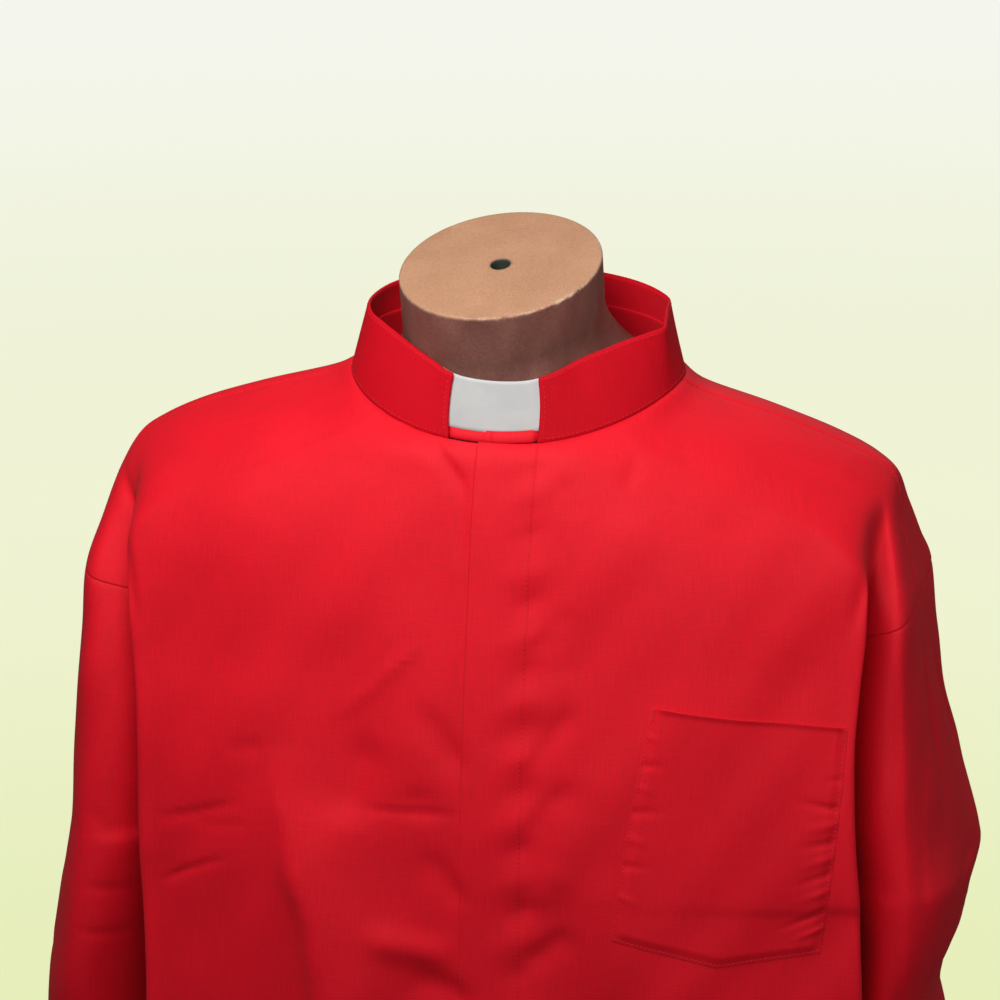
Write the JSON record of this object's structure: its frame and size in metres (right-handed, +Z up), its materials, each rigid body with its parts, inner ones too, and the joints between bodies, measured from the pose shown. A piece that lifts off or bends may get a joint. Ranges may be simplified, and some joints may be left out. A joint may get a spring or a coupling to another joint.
{
  "type": "clergy shirt on a dress form",
  "caption": "Long-sleeved bright red clergy shirt with a white tab collar, fly front and chest pocket, on a limbless dress form with a flat neck cap.",
  "frame": {"origin": "centre of the dress form's flat foot, on the surface it stands on", "axes": "+Z up, -Y out of the shirt's front, +X to the wearer's left"},
  "size_m": [0.565, 0.2544, 0.9188],
  "materials": {
    "shirt_red": "matt, plain bright red poly-cotton poplin",
    "collar_tab_white": "smooth matt white band",
    "form_skin": "satin brown paint, with a lighter tan top to the neck",
    "button_red": "satin red to match the cloth"
  },
  "bodies": {
    "root": {"dress_form": "form_skin", "yoke": "shirt_red", "back": "shirt_red", "front_left": "shirt_red", "front_right": "shirt_red", "fly_placket": "shirt_red", "chest_pocket": "shirt_red", "neckband": "shirt_red", "collar": "shirt_red", "collar_tab": "collar_tab_white", "sleeve_left": "shirt_red", "sleeve_right": "shirt_red", "cuff_left": "shirt_red", "cuff_right": "shirt_red", "cuff_button_left": "button_red", "cuff_button_right": "button_red"}
  },
  "joints": []
}
